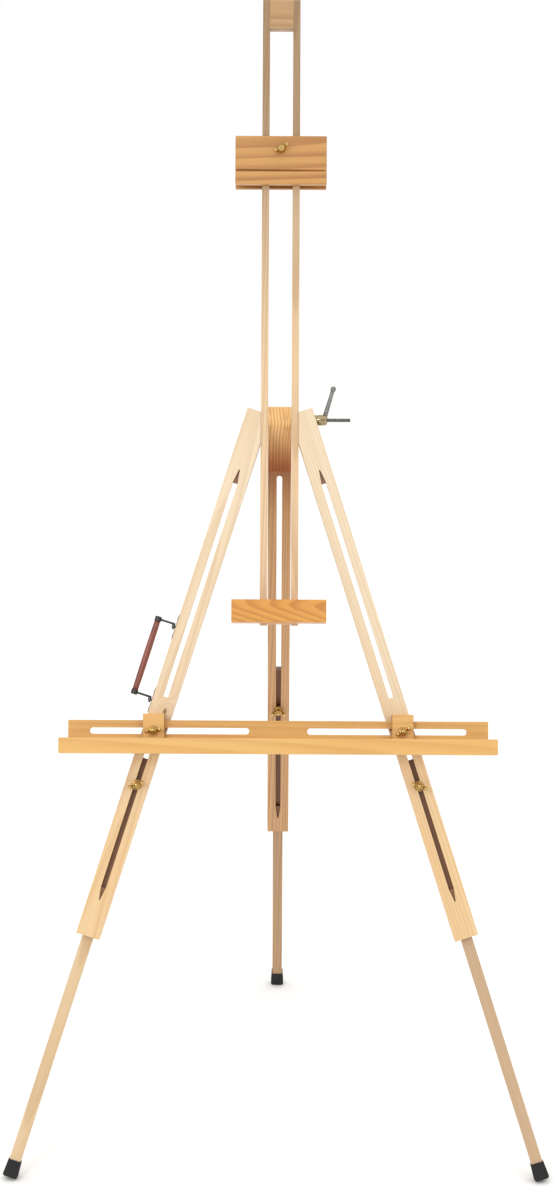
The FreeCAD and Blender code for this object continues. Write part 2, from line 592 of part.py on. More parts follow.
def tray():
    z = tray_bolt_place()[1]
    back = TRAY_FACE + TRAY_BOARD
    lip_front = TRAY_FACE - TRAY_DEPTH
    lip_back = lip_front + TRAY_STOCK
    slots = []
    for side in (-1, 1):
        x0, x1 = sorted((side * TRAY_SLOT[0], side * TRAY_SLOT[1]))
        r = TRAY_SLOT_HEIGHT / 2
        slots.append(box(x0 + r, x1 - r, TRAY_FACE - 1, back + 1, z - r, z + r))
        for end in (x0 + r, x1 - r):
            slots.append(rod(Vec(end, TRAY_FACE - 1, z), Y_AXIS, r, TRAY_BOARD + 2))
    screws = [aim(wood_screw(30.0), Vec(sx, back, TRAY_BOTTOM + TRAY_STOCK / 2), Y_AXIS)
              for sx in (-300, -150, 0, 150, 300)]
    board = box(-TRAY_HALF, TRAY_HALF, TRAY_FACE, back, TRAY_BOTTOM, TRAY_TOP)
    shelf = box(-TRAY_HALF, TRAY_HALF, lip_back, TRAY_FACE, TRAY_BOTTOM, TRAY_BOTTOM + TRAY_STOCK)
    lip = box(-TRAY_HALF - CHEEK, TRAY_HALF + CHEEK, lip_front, lip_back, TRAY_BOTTOM, LIP_TOP)
    cheeks = []
    for side in (-1, 1):
        x0, x1 = sorted((side * TRAY_HALF, side * (TRAY_HALF + CHEEK)))
        cheeks.append(box(x0, x1, lip_back, back, TRAY_BOTTOM, LIP_TOP))
    return {
        "tray_back_board": cut(board, *(slots + screws)),
        "tray_shelf": cut(shelf, *screws),
        "tray_lip": lip,
        "tray_end_cheeks": Part.makeCompound(cheeks),
        "tray_screws": Part.makeCompound(screws),
    }


def tray_fixing():
    """Bolt, hooked clamp block, washer and wing nut that hold the tray to the right leg."""
    x, z = tray_bolt_place()
    clear = 0.3
    back = TRAY_FACE - clear
    front = back - BLOCK_DEPTH
    x0, x1 = x - BLOCK_HALF, x + BLOCK_HALF
    lower = box(x0, x1, front, back, TRAY_BOTTOM + TRAY_STOCK + 0.5, BLOCK_TOP)
    hook = box(x0, x1, front, -0.4, TRAY_TOP + 0.4, BLOCK_TOP)
    block = cut(fused([lower, hook]), rod(Vec(x, -50, z), Y_AXIS, BOLT_R, 100))
    start = Vec(x, FRONT_WALL - 3.5, z)
    tail = 14.5
    bolt = aim(carriage_bolt(start.y - front + tail, 7.5), start, Vec(0, -1, 0))
    return {
        "tray_bolt": bolt,
        "tray_block": block,
        "tray_washer": aim(washer(), Vec(x, front, z), Vec(0, -1, 0)),
        "tray_wing_nut": aim(wing_nut(), Vec(x, front - 1.6, z), Vec(0, -1, 0)),
    }


# ------------------------------------------------------------------ head, in the flat frame
def head():
    y, z = HEAD_BOLT_Y, HEAD_BOLT_Z
    half = RAIL_IN - SLIDE_GAP
    head_end = -SEAT_LEFT - BOLT_HEAD
    hub_seat = SEAT_RIGHT + 1.6
    hub_end = hub_seat + HUB_LENGTH

    def edges_at(shape, x):
        return [e for e in shape.Edges if abs(e.CenterOfMass.x - x) < 0.01]

    bush = rod(Vec(-half, y, z), X_AXIS, BUSH_R, 2 * half)
    bush = cut(bush, rod(Vec(-50, y, z), X_AXIS, BOLT_R + FIT, 100))
    cap = rod(Vec(head_end, y, z), X_AXIS, BOLT_HEAD_R, BOLT_HEAD)
    cap = cap.makeFillet(1.8, edges_at(cap, head_end))
    shank = rod(Vec(-SEAT_LEFT - 1.0, y, z), X_AXIS, BOLT_R, SEAT_LEFT + 1.0 + HEAD_BOLT_END)
    shank = shank.makeChamfer(0.8, edges_at(shank, HEAD_BOLT_END))
    hub = rod(Vec(hub_seat, y, z), X_AXIS, HUB_R, HUB_LENGTH)
    hub = hub.makeFillet(1.5, edges_at(hub, hub_end))
    root = Vec(SEAT_RIGHT + LEVER_ROOT[0], y, z + LEVER_ROOT[1])
    tip = Vec(SEAT_RIGHT + LEVER_TIP[0], y, z + LEVER_TIP[1])
    arm = Part.makeCone(LEVER_ROOT_R, LEVER_TIP_R, (tip - root).Length, root, tip - root)
    lever = fused([hub, arm, Part.makeSphere(LEVER_BALL_R, tip)])
    return {
        "head_bush": bush,
        "head_bolt": fused([cap, shank]),
        "lever_washer": aim(washer(8.5), Vec(SEAT_RIGHT, y, z), X_AXIS),
        "clamp_lever": cut(lever, rod(Vec(0, y, z), X_AXIS, BOLT_R + FIT, 200)),
    }


# ------------------------------------------------------------------ assembly
def assemble():
    """Every piece by its node's name, in the flat frame."""
    pieces = {}
    handle_pieces, handle_screws = handle()
    for side in ("left", "right"):
        place = (lambda s: mirrored(from_right_leg(s))) if side == "left" else from_right_leg
        flip = mirrored if side == "left" else (lambda s: s)
        for name, shape in front_leg(side).items():
            if side == "left" and name == "outer_leg":
                shape = cut(shape, *handle_screws)
            pieces[side + "_" + name] = place(shape)
        for name, shape in tray_fixing().items():
            pieces[side + "_" + name] = flip(shape)
    for name, shape in handle_pieces.items():
        pieces[name] = mirrored(from_right_leg(shape))
    for name, shape in rear_leg().items():
        pieces["rear_" + name] = from_rear_leg(shape)
    for group in (mast(), canvas_clamp(), tray(), head()):
        pieces.update(group)
    return pieces


def main():
    os.makedirs("parts", exist_ok=True)
    for name, shape in assemble().items():
        standing = stand(shape)
        PARTS[name] = standing
        standing.exportStep("parts/" + name + ".step")
        print(name, "solids", len(standing.Solids), "valid", standing.isValid(),
              "volume", round(standing.Volume))


main()
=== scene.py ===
"""Looks of a tripod field easel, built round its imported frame. Lengths are metres, angles radians."""

import json
import math
import random

import bmesh
import bpy
from mathutils import Matrix, Vector


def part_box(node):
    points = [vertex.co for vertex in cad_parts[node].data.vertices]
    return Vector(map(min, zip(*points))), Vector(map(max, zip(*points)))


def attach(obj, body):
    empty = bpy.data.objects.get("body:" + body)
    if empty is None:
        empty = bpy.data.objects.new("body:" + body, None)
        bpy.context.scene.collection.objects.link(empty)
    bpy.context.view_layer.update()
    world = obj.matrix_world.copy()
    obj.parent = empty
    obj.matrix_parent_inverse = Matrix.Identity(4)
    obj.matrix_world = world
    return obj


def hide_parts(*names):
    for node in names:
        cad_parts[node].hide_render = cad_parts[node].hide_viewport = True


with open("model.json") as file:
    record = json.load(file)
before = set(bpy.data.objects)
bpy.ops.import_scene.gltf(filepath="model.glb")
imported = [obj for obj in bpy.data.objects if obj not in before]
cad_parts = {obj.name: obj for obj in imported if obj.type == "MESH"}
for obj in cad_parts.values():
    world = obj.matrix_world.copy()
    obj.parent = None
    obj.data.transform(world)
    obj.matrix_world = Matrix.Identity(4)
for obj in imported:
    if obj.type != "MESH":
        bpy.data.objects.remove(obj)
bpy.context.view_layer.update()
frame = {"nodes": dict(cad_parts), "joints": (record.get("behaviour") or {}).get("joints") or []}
NODES = frame["nodes"]
JOINTS = {joint["name"]: joint for joint in frame["joints"]}
MM = 0.001


# ------------------------------------------------------------------ directions, read from the joints
def axis_of(joint):
    return Vector(JOINTS[joint]["axis"]).normalized()


def place_of(joint):
    return Vector(JOINTS[joint]["pos_m"])


def grain(along, front):
    """A board's own axes: across its width, into its depth, and along its grain."""
    depth = -front
    return depth.cross(along).normalized(), depth, along


X_AXIS = Vector((1, 0, 0))
PLANE_FRONT = axis_of("front_leg_fold")         # square out of the leaning front plane
REAR_FRONT = axis_of("rear_lock_nut_turn")      # square out of the rear leg's front
UP_PLANE = axis_of("mast_slide")
UP_LEG = {"left": -axis_of("left_leg_slide"), "right": -axis_of("right_leg_slide"),
          "rear": -axis_of("rear_leg_slide")}
LEG_FRONT = {"left": PLANE_FRONT, "right": PLANE_FRONT, "rear": REAR_FRONT}

ALONG_LEG = {side: grain(UP_LEG[side], LEG_FRONT[side]) for side in UP_LEG}
ALONG_MAST = grain(UP_PLANE, PLANE_FRONT)
ALONG_WIDTH = grain(X_AXIS, PLANE_FRONT)
ALONG_DEPTH = (X_AXIS, UP_PLANE, -PLANE_FRONT)


# ------------------------------------------------------------------ materials
class Finish:
    """A procedural material: a Principled shader, and short calls that add nodes in front of it."""

    def __init__(self, name, **sockets):
        self.data = bpy.data.materials.new(name)
        self.data.use_nodes = True
        self.tree = self.data.node_tree
        self.shader = self.tree.nodes["Principled BSDF"]
        for socket, value in sockets.items():
            self.shader.inputs[socket.replace("_", " ")].default_value = value
        self.coord = self.tree.nodes.new("ShaderNodeTexCoord")
        self.place = self.coord.outputs["Object"]

    def feed(self, socket, value):
        if isinstance(value, bpy.types.NodeSocket):
            self.tree.links.new(value, socket)
        else:
            socket.default_value = value

    def add(self, kind, *values, output=0, **settings):
        """A new node with its settings, and its inputs linked or set in order."""
        node = self.tree.nodes.new("ShaderNode" + kind)
        for key, value in settings.items():
            setattr(node, key, value)
        for socket, value in zip(node.inputs, values):
            if value is not None:
                self.feed(socket, value)
        return node.outputs[output]

    def sum(self, *values):
        total = values[0]
        for value in values[1:]:
            total = self.add("Math", total, value, operation="ADD")
        return total

    def times(self, a, b):
        return self.add("Math", a, b, operation="MULTIPLY")

    def ramp(self, value, low, high, to_low=0.0, to_high=1.0):
        """Smooth step from to_low to to_high while value goes from low to high."""
        return self.add("MapRange", value, low, high, to_low, to_high, interpolation_type="SMOOTHSTEP")

    def between(self, value, low, high, soft):
        return self.times(self.ramp(value, low - soft, low), self.ramp(value, high, high + soft, 1.0, 0.0))

    def dot(self, vector, axis):
        return self.add("VectorMath", vector, axis, operation="DOT_PRODUCT", output=1)

    def point(self, x, y, z):
        return self.add("CombineXYZ", x, y, z)

    def noise(self, vector, scale, detail=2.0, roughness=0.5, output=0):
        return self.add("TexNoise", vector, None, scale, detail, roughness, output=output)

    def mix(self, share, a, b, blend="MIX"):
        node = self.tree.nodes.new("ShaderNodeMix")
        node.data_type, node.blend_type = "RGBA", blend
        for socket, value in zip((node.inputs[0], node.inputs[6], node.inputs[7]), (share, a, b)):
            self.feed(socket, value)
        return node.outputs[2]

    def finish(self, colour=None, roughness=None, height=None, depth=0.0002, strength=0.4):
        for socket, value in (("Base Color", colour), ("Roughness", roughness)):
            if value is not None:
                self.feed(self.shader.inputs[socket], value)
        if height is not None:
            bump = self.tree.nodes.new("ShaderNodeBump")
            bump.inputs["Strength"].default_value = strength
            bump.inputs["Distance"].default_value = depth
            self.feed(bump.inputs["Height"], height)
            self.tree.links.new(bump.outputs[0], self.shader.inputs["Normal"])
        return self.data


def rgb(red, green, blue):
    return (red, green, blue, 1.0)


WANDER_SCALE, PATCH_SCALE, STREAK_SCALE, FIBRE_SCALE = 13.0, 22.0, 95.0, 1500.0     # per metre
RING_STRETCH, STREAK_STRETCH, FIBRE_STRETCH = 0.09, 0.035, 0.018    # distance along the grain, as shares
# The last share below sets how dark the painted shade in the slots is.
FIBRE_SHARE, BASE_SHARE, HEART_SHARE, SLOT_SHADE_SHARE = 0.22, 0.12, 0.85, 0.86    # how much each one darkens
FIBRE_ROUGHNESS, LATE_ROUGHNESS = 0.14, -0.06
GRAIN_DEPTH, GRAIN_STRENGTH = 0.25 * MM, 0.35
UNEVEN_YEARS = 2.4                                       # how unlike each other the years' rings are
LATE_WOOD_RISE, LATE_WOOD_END = (0.25, 0.86), (0.90, 1.0)    # shares of a year's ring
# How softly the slots' painted shade ends at its sides.
SLOT_SHADE_EDGE = 0.4 * MM
WARM_PATCH, KNOT_HEART = rgb(0.93, 0.74, 0.52), rgb(0.19, 0.075, 0.025)
# The first colour below is painted shade, the dark brown of shadow inside the slots; the second is the darker
# tone of end grain.
SLOT_SHADE_BROWN, END_GRAIN = rgb(0.20, 0.066, 0.018), rgb(0.42, 0.29, 0.19)


def knot_push(m, x, z, knot):
    """How far a knot bends the growth rings aside, and how near the point is to its heart."""
    across, along, size = knot
    away = m.add("VectorMath", m.point(m.sum(x, -across), 0.0, m.times(m.sum(z, -along), 0.6)),
                 operation="LENGTH", output=1)
    spread = m.times(m.times(away, away), -1 / (2.4 * size) ** 2)
    bend = m.times(m.add("Math", spread, operation="EXPONENT"), 2.2 * size)
    heart = m.ramp(away, size * 0.35, size, 1.0, 0.0)
    return bend, heart


def slot_stain(m, axes, joint, half, deep, bands):
    """Painted shade in a slot, where shadow falls on its walls and on the wood seen through it: beside the
    slot's middle, at a depth, between heights.

    Everything is measured from a joint that stands in the slot, 8 mm before the board's face.
    """
    own = m.add("VectorMath", m.place, place_of(joint), operation="SUBTRACT")
    beside = m.add("Math", m.dot(own, axes[0]), operation="ABSOLUTE")
    up = m.dot(own, axes[2])
    heights = m.sum(*(m.between(up, low, high, 4 * MM) for low, high in bands))
    across = m.times(m.between(beside, -1.0, half, SLOT_SHADE_EDGE),
                     m.between(m.dot(own, axes[1]), *deep, SLOT_SHADE_EDGE))
    return m.times(across, heights)


def growth_rings(m, draw, place, slow, ring, near, tilt, swirl, knot, cut):
    """The dark late wood of each year's ring, and how near a point is to a knot's heart, if any."""
    x, y, z = place
    wander = m.noise(slow, WANDER_SCALE, 2.0, output=1)
    wander = m.add("VectorMath", wander, (0.5, 0.5, 0.5), operation="SUBTRACT")
    wander_x = m.times(m.dot(wander, (1, 0, 0)), 2 * swirl)
    wander_y = m.times(m.dot(wander, (0, 1, 0)), 2 * swirl)

    side = draw.uniform(0.25 * math.pi, 0.75 * math.pi) if cut is None else cut
    pith_x, pith_y = near * math.cos(side), near * math.sin(side)
    stray_x, stray_y = tilt * draw.uniform(-1, 1), tilt * draw.choice((-1, 1))
    from_pith = m.point(m.sum(x, wander_x, -pith_x, m.times(z, stray_x)),
                        m.sum(y, wander_y, -pith_y, m.times(z, stray_y)), 0.0)
    radius = m.add("VectorMath", from_pith, operation="LENGTH", output=1)
    heart = None
    if knot:
        bend, heart = knot_push(m, x, z, knot)
        radius = m.sum(radius, bend)
    years = m.add("TexNoise", None, m.times(radius, 0.11 / ring), 1.0, 2.0, noise_dimensions="1D")
    phase = m.add("Math", m.sum(m.times(radius, 1 / ring), m.times(years, UNEVEN_YEARS)), operation="FRACT")
    late = m.times(m.ramp(phase, *LATE_WOOD_RISE), m.ramp(phase, *LATE_WOOD_END, 1.0, 0.0))
    return late, heart


def wood(name, node, axes, light, dark, seed, ring=0.0026, near=0.055, lines=0.5, streaks=0.5,
         tilt=0.012, swirl=0.004, gloss=0.42, knot=None, fade=None, cut=None, stain=None):
    """Softwood cut from a log: growth rings round a pith that runs beside the board.

    near is the pith's distance from the board's middle, ring the rings' spacing, tilt how far the
    pith strays from the board's line, and swirl how much the rings wander. fade paints shade, darker
    between two heights along the board, by a share, in streaks. cut turns the pith round the board,
    and stain paints shade on a slot's walls and the wood seen through it: see slot_stain.
    """
    draw = random.Random(seed)
    m = Finish(name, Coat_Weight=0.25, Coat_Roughness=0.22)
    low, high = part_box(node)
    own = m.add("VectorMath", m.place, (low + high) / 2, operation="SUBTRACT")
    x, y, z = (m.dot(own, axis) for axis in axes)
    shift = [draw.uniform(-40, 40) for _ in range(3)]

    def stretched(share):
        """The place with its distance along the grain made shorter, moved to a spot of its own."""
        return m.add("VectorMath", m.point(x, y, m.times(z, share)), shift, operation="ADD")

    slow = stretched(RING_STRETCH)
    late, heart = growth_rings(m, draw, (x, y, z), slow, ring, near, tilt, swirl, knot, cut)
    broad = m.noise(stretched(STREAK_STRETCH), STREAK_SCALE, 3.0, 0.55)
    fibre = m.noise(m.point(x, y, m.times(z, FIBRE_STRETCH)), FIBRE_SCALE, 2.0, 0.6)
    share = m.sum(m.times(late, lines), m.times(m.sum(broad, -0.5), streaks),
                  m.times(m.sum(fibre, -0.5), FIBRE_SHARE), BASE_SHARE)
    colour = m.mix(m.add("Clamp", share, 0.0, 1.0), light, dark)
    warm = m.ramp(m.noise(slow, PATCH_SCALE, 2.0), 0.35, 0.7, 0.0, 0.25)
    colour = m.mix(warm, colour, WARM_PATCH, "MULTIPLY")
    if heart is not None:
        colour = m.mix(m.times(heart, HEART_SHARE), colour, KNOT_HEART)
    # Painted shade: the board darkens between two heights along it, in streaks.
    if fade:
        start, end, depth, shade = fade
        streaky = m.sum(z, m.times(m.sum(broad, -0.5), 0.5 * (start - end)))
        colour = m.mix(m.ramp(streaky, end, start, depth, 0.0), colour, shade, "MULTIPLY")
    # Painted shade in a slot: its walls, and the wood seen through it, turn dark brown.
    if stain:
        colour = m.mix(m.times(slot_stain(m, axes, *stain), SLOT_SHADE_SHARE), colour, SLOT_SHADE_BROWN)
    facing = m.add("Math", m.dot(m.coord.outputs["Normal"], axes[2]), operation="ABSOLUTE")
    colour = m.mix(m.ramp(facing, 0.75, 0.96, 0.0, 0.9), colour, END_GRAIN, "MULTIPLY")

    roughness = m.sum(m.times(fibre, FIBRE_ROUGHNESS), m.times(late, LATE_ROUGHNESS), gloss)
    height = m.sum(m.times(fibre, 0.5), m.times(late, 0.5))
    return m.finish(colour, roughness, height, depth=GRAIN_DEPTH, strength=GRAIN_STRENGTH)


def metal(name, colour, dull, roughness, grime=0.35, **sockets):
    """Metal with faint mottling and fine scratches."""
    m = Finish(name, Metallic=1.0, **sockets)
    cloud = m.noise(m.place, 420.0, 3.0, 0.6)
    scratch = m.noise(m.add("VectorMath", m.place, (900.0, 900.0, 5200.0), operation="MULTIPLY"), 1.0, 2.0)
    tone = m.mix(m.ramp(cloud, 0.35, 0.75, 0.0, grime), colour, dull)
    rough = m.sum(m.times(m.sum(cloud, -0.5), 0.22), m.times(m.sum(scratch, -0.5), 0.12), roughness)
    return m.finish(tone, rough, m.sum(scratch, m.times(cloud, 0.6)), depth=0.00006, strength=0.25)


def rubber(name):
    m = Finish(name, Specular_IOR_Level=0.35)
    grain_noise = m.noise(m.place, 2600.0, 3.0, 0.65)
    dust = m.ramp(m.noise(m.place, 120.0, 4.0, 0.6), 0.5, 0.8, 0.0, 0.35)
    colour = m.mix(dust, rgb(0.012, 0.012, 0.013), rgb(0.055, 0.052, 0.05))
    return m.finish(colour, m.sum(m.times(grain_noise, 0.25), 0.55), grain_noise, 0.0002, 0.5)


def enamel(name):
    """Black enamelled wire and caps."""
    m = Finish(name, Coat_Weight=0.3, Coat_Roughness=0.2)
    mottle = m.noise(m.place, 900.0, 3.0, 0.6)
    colour = m.mix(m.ramp(mottle, 0.4, 0.8, 0.0, 0.5), rgb(0.012, 0.012, 0.013), rgb(0.05, 0.048, 0.046))
    return m.finish(colour, m.sum(m.times(mottle, 0.2), 0.3), mottle, 0.00008, 0.3)


PALE, PALE_LINE = rgb(0.79, 0.655, 0.47), rgb(0.61, 0.41, 0.225)
INNER, INNER_LINE = rgb(0.70, 0.525, 0.32), rgb(0.51, 0.32, 0.16)
DARK_INNER, DARK_INNER_LINE = rgb(0.565, 0.395, 0.245), rgb(0.41, 0.245, 0.125)
HONEY, HONEY_LINE = rgb(0.75, 0.455, 0.148), rgb(0.59, 0.30, 0.078)
BLOCK, BLOCK_LINE = rgb(0.80, 0.49, 0.17), rgb(0.64, 0.33, 0.09)
RAIL, RAIL_LINE = rgb(0.76, 0.56, 0.35), rgb(0.51, 0.32, 0.165)
TOP, TOP_LINE = rgb(0.50, 0.30, 0.14), rgb(0.31, 0.165, 0.065)
ORANGE, ORANGE_LINE = rgb(0.70, 0.335, 0.062), rgb(0.44, 0.145, 0.02)
RUSSET, RUSSET_LINE = rgb(0.59, 0.305, 0.092), rgb(0.31, 0.115, 0.026)
HEAD, HEAD_LINE = rgb(0.87, 0.55, 0.215), rgb(0.52, 0.255, 0.08)
# The rear leg's pine: its own tone, made darker with painted shade because it faces away from the light.
SHADED_BROWN, SHADED_BROWN_LINE = rgb(0.60, 0.355, 0.17), rgb(0.36, 0.175, 0.07)
SHADED_UMBER, SHADED_UMBER_LINE = rgb(0.49, 0.31, 0.17), rgb(0.31, 0.165, 0.075)
# The three colours below are painted shade, multiplied in by fade: on the outer legs' lower ends; on the rear
# leg's top and the head block's lower end; on the rails' top.
SHADE, DEEP_SHADE, RAIL_TOP_SHADE = rgb(0.98, 0.76, 0.42), rgb(0.44, 0.20, 0.085), rgb(0.48, 0.42, 0.36)

BRASS = metal("brass", rgb(0.66, 0.45, 0.17), rgb(0.24, 0.14, 0.045), 0.17, grime=0.6)
STEEL = metal("steel", rgb(0.24, 0.235, 0.225), rgb(0.13, 0.125, 0.12), 0.32)
DULL_BRASS = metal("dull_brass", rgb(0.42, 0.34, 0.20), rgb(0.16, 0.12, 0.07), 0.26, grime=0.7)
DARK_STEEL = metal("blackened_steel", rgb(0.16, 0.155, 0.15), rgb(0.07, 0.068, 0.065), 0.38)
ZINC = metal("zinc_plate", rgb(0.62, 0.61, 0.58), rgb(0.36, 0.35, 0.33), 0.30)
RUBBER = rubber("black_rubber")
ENAMEL = enamel("black_enamel")


# ------------------------------------------------------------------ finishing the carried-over nodes
def soften(obj, width, segments=2):
    """Rounded arrises: the edges of sawn and sanded wood, or of pressed metal."""
    weld = obj.modifiers.new("weld", "WELD")
    weld.merge_threshold = 2e-6
    bevel = obj.modifiers.new("arris", "BEVEL")
    bevel.width, bevel.segments = width, segments
    bevel.limit_method, bevel.angle_limit = "ANGLE", math.radians(38)
    bevel.miter_outer = "MITER_ARC"
    bevel.use_clamp_overlap = True
    obj.modifiers.new("flat_faces", "WEIGHTED_NORMAL")


def paint(node, material, arris=None):
    obj = NODES[node]
    obj.data.materials.clear()
    obj.data.materials.append(material)
    if arris:
        soften(obj, arris)


def timber(node, axes, light, dark, seed, arris=0.9 * MM, **options):
    paint(node, wood(node + "_wood", node, axes, light, dark, seed, **options), arris)


# Where the slots' painted shade goes: on an outer leg's slot walls, and on the inner leg's face seen through
# the slot.
SLOT_WALLS, INNER_FACE = (8.8 * MM, 60 * MM), (15 * MM, 17.8 * MM)     # depths from the lock joint


def finish_timber():
    for seed, side in enumerate(("left", "right")):
        legs, lock = ALONG_LEG[side], side + "_lock_nut_turn"
        # Painted shade: the outer legs darken towards their feet, and their slots' walls are painted dark
        # brown.
        timber(side + "_outer_leg", legs, PALE, PALE_LINE, 11 + seed, lines=0.32, streaks=0.55,
               knot=(0.013, -0.062, 0.0042) if side == "left" else None, fade=(0.0, -0.30, 0.6, SHADE),
               stain=(lock, 4.3 * MM, SLOT_WALLS, ((-1.0, 0.08), (0.485, 1.0))))
        light, dark = (INNER, INNER_LINE) if side == "left" else (DARK_INNER, DARK_INNER_LINE)
        # Painted shade on each inner leg: dark brown where it shows through the outer leg's slot.
        timber(side + "_inner_leg", legs, light, dark, 21 + seed, lines=0.36, streaks=0.6,
               stain=(lock, 4.4 * MM, INNER_FACE, ((-0.225, 1.0),)))
        timber(side + "_tray_block", ALONG_WIDTH, BLOCK, BLOCK_LINE, 31 + seed, ring=0.0034, lines=0.45)
    # Painted shade: the rear legs are a darker brown all along, the outer one darkest at its top behind the
    # mast, and its slot and the inner leg seen through it are painted dark brown.
    rear, lock = ALONG_LEG["rear"], "rear_lock_nut_turn"
    timber("rear_outer_leg", rear, SHADED_BROWN, SHADED_BROWN_LINE, 41, lines=0.5, fade=(0.22, 0.34, 0.75, DEEP_SHADE),
           stain=(lock, 4.6 * MM, SLOT_WALLS, ((-1.0, 0.07),)))
    timber("rear_inner_leg", rear, SHADED_UMBER, SHADED_UMBER_LINE, 42, lines=0.4,
           stain=(lock, 4.7 * MM, INNER_FACE, ((-0.235, 1.0),)))
    # Painted shade: the head block darkens to near black towards its lower end, in streaks, where it recedes
    # between the rails.
    timber("rear_head_block", rear, HEAD, HEAD_LINE, 43, lines=0.7, streaks=1.1, ring=0.0046,
           tilt=0.002, swirl=0.001, near=0.07, cut=0.1, fade=(0.03, -0.065, 1.0, DEEP_SHADE))
    for seed, side in enumerate(("left", "right")):
        # Painted shade: the rails darken towards their top.
        timber("mast_rail_" + side, ALONG_MAST, RAIL, RAIL_LINE, 51 + seed, lines=0.4, streaks=0.7,
               fade=(-0.15, 0.42, 1.0, RAIL_TOP_SHADE))
    timber("mast_top_block", ALONG_WIDTH, TOP, TOP_LINE, 53, lines=0.5, ring=0.0062)
    timber("mast_bottom_block", ALONG_WIDTH, RAIL, RAIL_LINE, 54)
    timber("canvas_ledge", ALONG_WIDTH, ORANGE, ORANGE_LINE, 64, lines=0.5, ring=0.0066,
           near=0.03, tilt=0.17, swirl=0.018, arris=1.2 * MM)
    for node, seed in (("clamp_front_board", 71), ("clamp_back_board", 72)):
        timber(node, ALONG_WIDTH, RUSSET, RUSSET_LINE, seed, lines=0.55, streaks=0.9, ring=0.0115,
               near=0.07, tilt=0.02, swirl=0.012, arris=1.1 * MM)
    timber("tray_back_board", ALONG_WIDTH, HONEY, HONEY_LINE, 81, lines=0.4, ring=0.0040, near=0.05)
    timber("tray_shelf", ALONG_WIDTH, HONEY, HONEY_LINE, 82, lines=0.4, ring=0.0040)
    timber("tray_lip", ALONG_WIDTH, HONEY, HONEY_LINE, 83, lines=0.35, ring=0.0042, near=0.05)
    timber("tray_end_cheeks", ALONG_DEPTH, HONEY, HONEY_LINE, 84, lines=0.5)


def finish_hardware():
    for side in ("left", "right", "rear"):
        paint(side + "_keeper", ZINC, 0.3 * MM)
        paint(side + "_keeper_screws", ZINC)
        paint(side + "_foot", RUBBER)
        paint(side + "_lock_washer", BRASS, 0.3 * MM)
    for side in ("left", "right"):
        paint(side + "_tray_washer", BRASS, 0.3 * MM)
    for node in ("handle_plate_screws", "mast_block_screws", "ledge_screws", "tray_screws",
                 "rear_head_block_screws", "head_bush"):
        paint(node, ZINC)
    paint("handle_plates", DARK_STEEL)
    for node in ("clamp_insert_nut", "lever_washer"):
        paint(node, BRASS, 0.3 * MM)
    for node in ("handle_ferrules", "handle_links"):
        paint(node, ENAMEL)


# ------------------------------------------------------------------ mesh helpers
def mesh_object(name, bm, material, smooth=True):
    bmesh.ops.recalc_face_normals(bm, faces=bm.faces)
    mesh = bpy.data.meshes.new(name)
    bm.to_mesh(mesh)
    bm.free()
    for face in mesh.polygons:
        face.use_smooth = smooth
    mesh.materials.append(material)
    obj = bpy.data.objects.new(name, mesh)
    bpy.context.scene.collection.objects.link(obj)
    return obj


def bake_modifiers(obj):
    """Turn what the modifiers make into the object's own mesh."""
    bpy.context.view_layer.update()
    seen = obj.evaluated_get(bpy.context.evaluated_depsgraph_get())
    mesh = bpy.data.meshes.new_from_object(seen)
    obj.modifiers.clear()
    obj.data = mesh


def skin_rings(bm, rings, close_ends=True):
    """Faces between rings of points that all have the same count."""
    rows = [[bm.verts.new(point) for point in ring] for ring in rings]
    for lower, upper in zip(rows, rows[1:]):
        for i in range(len(lower)):
            k = (i + 1) % len(lower)
            bm.faces.new((lower[i], lower[k], upper[k], upper[i]))
    if close_ends:
        bm.faces.new(rows[0][::-1])
        bm.faces.new(rows[-1])


def ring(radius, height, count):
    return [(radius * math.cos(2 * math.pi * i / count), radius * math.sin(2 * math.pi * i / count), height)
            for i in range(count)]


def put(obj, place, along, towards):
    """Stand an object made on +Z at a place, with +Z along a direction and its X near another."""
    z = along.normalized()
    y = z.cross(towards).normalized()
    x = y.cross(z)
    turn = Matrix((x, y, z)).transposed().to_4x4()
    obj.matrix_world = Matrix.Translation(place) @ turn


def span_along(node, place, axis):
    """Lowest and highest distance of a node's mesh from a place, along an axis."""
    reach = [(v.co - place).dot(axis) for v in NODES[node].data.vertices]
    return min(reach), max(reach)


# ------------------------------------------------------------------ wing nuts
# The sizes of nuts, bolts and the lever are in millimetres.
NUT_BASE, NUT_TOP, NUT_HEIGHT, NUT_BORE = 6.4, 4.9, 9.0, 3.1
NUT_CREST = 16.6                   # height of the wings' crest over the nut's seat
WING_SWEEP = ((3.6, 3.4, 3.0), (5.6, 5.0, 3.0), (7.4, 7.0, 3.0), (9.0, 9.2, 3.1), (9.8, 11.4, 3.3),
              (10.0, 13.2, 3.4))       # a wing's middle line: out, up, half thickness
WING_HALF_WIDTH = (3.6, 3.6, 3.5, 3.4, 3.4, 3.3)


